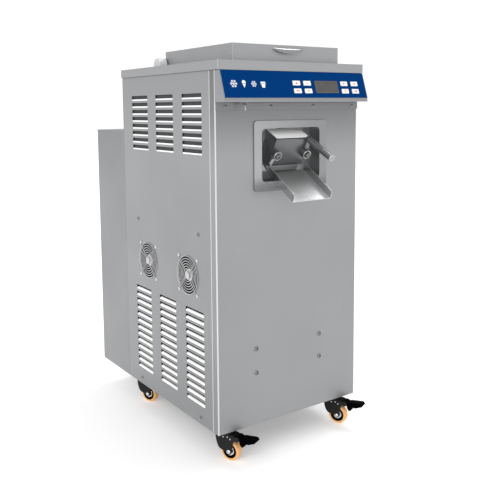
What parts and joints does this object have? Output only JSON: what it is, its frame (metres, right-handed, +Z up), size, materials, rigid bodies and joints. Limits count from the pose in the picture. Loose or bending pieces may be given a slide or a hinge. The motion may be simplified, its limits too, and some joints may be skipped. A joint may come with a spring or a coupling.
{
  "type": "batch freezer",
  "caption": "Free-standing stainless batch freezer for ice cream, with a lidded hopper, a gated discharge chute, a sloping keypad and swivel casters.",
  "frame": {"origin": "on the floor, in the middle of the bounding box", "axes": "+Z up, the front with the discharge chute faces -Y, +X to the right of somebody who looks at the front"},
  "size_m": [0.538, 0.9108, 1.2074],
  "materials": {
    "stainless_panel": "brushed stainless sheet, satin",
    "polished_steel": "bright stainless, lightly polished",
    "black_steel": "black coated pressed steel",
    "blue_film": "satin blue polyester overlay",
    "display": "smoked display window",
    "white_plastic": "white nylon",
    "circuit_board": "green board",
    "black_plastic": "black moulded nylon",
    "tyre": "tan polyurethane tread",
    "black_rubber": "black belt rubber",
    "copper": "finned coil, copper and aluminium",
    "motor_paint": "blue-grey enamel"
  },
  "bodies": {
    "cabinet": {"left_side_panel": "stainless_panel", "right_side_panel": "stainless_panel", "front_panel": "stainless_panel", "back_panel": "stainless_panel", "rear_housing": "stainless_panel", "top_cover": "stainless_panel", "hopper": "stainless_panel", "control_housing": "stainless_panel", "clamp_strip": "stainless_panel", "freezing_cylinder": "stainless_panel", "cylinder_shelf": "stainless_panel", "electrical_box": "stainless_panel", "hinge_rod": "polished_steel", "discharge_bezel": "polished_steel", "discharge_door": "polished_steel", "discharge_chute": "polished_steel", "fan_guard_front": "polished_steel", "fan_guard_rear": "polished_steel", "base_plate": "black_steel", "compressor": "black_steel", "control_film": "blue_film", "display_lens": "display", "keypad_board": "circuit_board", "hinge_cap_left": "white_plastic", "hinge_cap_right": "white_plastic", "toggle_switch": "black_plastic", "fan_frame_front": "black_plastic", "fan_frame_rear": "black_plastic", "cable_gland": "black_plastic", "drive_belt": "black_rubber", "condenser": "copper", "drive_motor": "motor_paint"},
    "key_1": {"key_1": "white_plastic"},
    "key_2": {"key_2": "white_plastic"},
    "key_3": {"key_3": "white_plastic"},
    "key_4": {"key_4": "white_plastic"},
    "key_5": {"key_5": "white_plastic"},
    "key_6": {"key_6": "white_plastic"},
    "key_7": {"key_7": "white_plastic"},
    "key_8": {"key_8": "white_plastic"},
    "toggle": {"toggle_lever": "polished_steel"},
    "lid": {"hopper_lid": "stainless_panel", "lid_handle": "polished_steel"},
    "gate": {"gate_plate": "polished_steel", "gate_handle": "polished_steel"},
    "dasher": {"dasher": "polished_steel", "driven_pulley": "stainless_panel"},
    "motor_shaft": {"motor_pulley": "stainless_panel"},
    "fan_front": {"fan_rotor_front": "black_plastic"},
    "fan_rear": {"fan_rotor_rear": "black_plastic"},
    "caster_front_left": {"caster_fork_front_left": "black_steel"},
    "wheel_front_left": {"caster_wheel_front_left": "tyre"},
    "brake_front_left": {"brake_pedal_front_left": "black_plastic"},
    "caster_front_right": {"caster_fork_front_right": "black_steel"},
    "wheel_front_right": {"caster_wheel_front_right": "tyre"},
    "brake_front_right": {"brake_pedal_front_right": "black_plastic"},
    "caster_rear_left": {"caster_fork_rear_left": "black_steel"},
    "wheel_rear_left": {"caster_wheel_rear_left": "tyre"},
    "caster_rear_right": {"caster_fork_rear_right": "black_steel"},
    "wheel_rear_right": {"caster_wheel_rear_right": "tyre"}
  },
  "joints": [
    {"name": "key_1_press", "type": "slide", "parent": "cabinet", "child": "key_1", "axis": [0, 0.9514, -0.3079], "range_m": [0, 0.0008], "stiffness_N_per_m": 900},
    {"name": "key_2_press", "type": "slide", "parent": "cabinet", "child": "key_2", "axis": [0, 0.9514, -0.3079], "range_m": [0, 0.0008], "stiffness_N_per_m": 900},
    {"name": "key_3_press", "type": "slide", "parent": "cabinet", "child": "key_3", "axis": [0, 0.9514, -0.3079], "range_m": [0, 0.0008], "stiffness_N_per_m": 900},
    {"name": "key_4_press", "type": "slide", "parent": "cabinet", "child": "key_4", "axis": [0, 0.9514, -0.3079], "range_m": [0, 0.0008], "stiffness_N_per_m": 900},
    {"name": "key_5_press", "type": "slide", "parent": "cabinet", "child": "key_5", "axis": [0, 0.9514, -0.3079], "range_m": [0, 0.0008], "stiffness_N_per_m": 900},
    {"name": "key_6_press", "type": "slide", "parent": "cabinet", "child": "key_6", "axis": [0, 0.9514, -0.3079], "range_m": [0, 0.0008], "stiffness_N_per_m": 900},
    {"name": "key_7_press", "type": "slide", "parent": "cabinet", "child": "key_7", "axis": [0, 0.9514, -0.3079], "range_m": [0, 0.0008], "stiffness_N_per_m": 900},
    {"name": "key_8_press", "type": "slide", "parent": "cabinet", "child": "key_8", "axis": [0, 0.9514, -0.3079], "range_m": [0, 0.0008], "stiffness_N_per_m": 900},
    {"name": "toggle_tilt", "type": "hinge", "parent": "cabinet", "child": "toggle", "pos_m": [-0.183, -0.35963, 1.042], "axis": [1, 0, 0], "range_deg": [0, 24]},
    {"name": "lid_hinge", "type": "hinge", "parent": "cabinet", "child": "lid", "pos_m": [0, 0.06037, 1.167], "axis": [-1, 0, 0], "range_deg": [0, 95]},
    {"name": "gate_pivot", "type": "hinge", "parent": "cabinet", "child": "gate", "pos_m": [0.055, -0.32275, 0.89801], "axis": [0, 0.891, 0.454], "range_deg": [0, 60]},
    {"name": "dasher_spin", "type": "hinge", "parent": "cabinet", "child": "dasher", "pos_m": [0, 0.10437, 0.893], "axis": [0, 1, 0], "continuous": true},
    {"name": "motor_spin", "type": "hinge", "parent": "cabinet", "child": "motor_shaft", "pos_m": [0, 0.26437, 0.235], "axis": [0, 1, 0], "continuous": true},
    {"name": "fan_front_spin", "type": "hinge", "parent": "cabinet", "child": "fan_front", "pos_m": [-0.25, -0.17663, 0.535], "axis": [1, 0, 0], "continuous": true},
    {"name": "fan_rear_spin", "type": "hinge", "parent": "cabinet", "child": "fan_rear", "pos_m": [-0.25, 0.07537, 0.535], "axis": [1, 0, 0], "continuous": true},
    {"name": "swivel_front_left", "type": "hinge", "parent": "cabinet", "child": "caster_front_left", "pos_m": [-0.212, -0.30363, 0.085], "axis": [0, 0, 1], "continuous": true},
    {"name": "roll_front_left", "type": "hinge", "parent": "caster_front_left", "child": "wheel_front_left", "pos_m": [-0.20693, -0.31451, 0.03], "axis": [-0.9063, -0.4226, 0], "continuous": true},
    {"name": "brake_front_left_press", "type": "hinge", "parent": "caster_front_left", "child": "brake_front_left", "pos_m": [-0.1951, -0.33988, 0.072], "axis": [0.9063, 0.4226, 0], "range_deg": [0, 14]},
    {"name": "swivel_front_right", "type": "hinge", "parent": "cabinet", "child": "caster_front_right", "pos_m": [0.212, -0.30363, 0.085], "axis": [0, 0, 1], "continuous": true},
    {"name": "roll_front_right", "type": "hinge", "parent": "caster_front_right", "child": "wheel_front_right", "pos_m": [0.21707, -0.31451, 0.03], "axis": [-0.9063, -0.4226, 0], "continuous": true},
    {"name": "brake_front_right_press", "type": "hinge", "parent": "caster_front_right", "child": "brake_front_right", "pos_m": [0.2289, -0.33988, 0.072], "axis": [0.9063, 0.4226, 0], "range_deg": [0, 14]},
    {"name": "swivel_rear_left", "type": "hinge", "parent": "cabinet", "child": "caster_rear_left", "pos_m": [-0.212, 0.20537, 0.085], "axis": [0, 0, 1], "continuous": true},
    {"name": "roll_rear_left", "type": "hinge", "parent": "caster_rear_left", "child": "wheel_rear_left", "pos_m": [-0.20693, 0.19449, 0.03], "axis": [-0.9063, -0.4226, 0], "continuous": true},
    {"name": "swivel_rear_right", "type": "hinge", "parent": "cabinet", "child": "caster_rear_right", "pos_m": [0.212, 0.20537, 0.085], "axis": [0, 0, 1], "continuous": true},
    {"name": "roll_rear_right", "type": "hinge", "parent": "caster_rear_right", "child": "wheel_rear_right", "pos_m": [0.21707, 0.19449, 0.03], "axis": [-0.9063, -0.4226, 0], "continuous": true}
  ],
  "couplings": [
    {"joint": "motor_spin", "follows": "dasher_spin", "ratio": 1.8571}
  ]
}
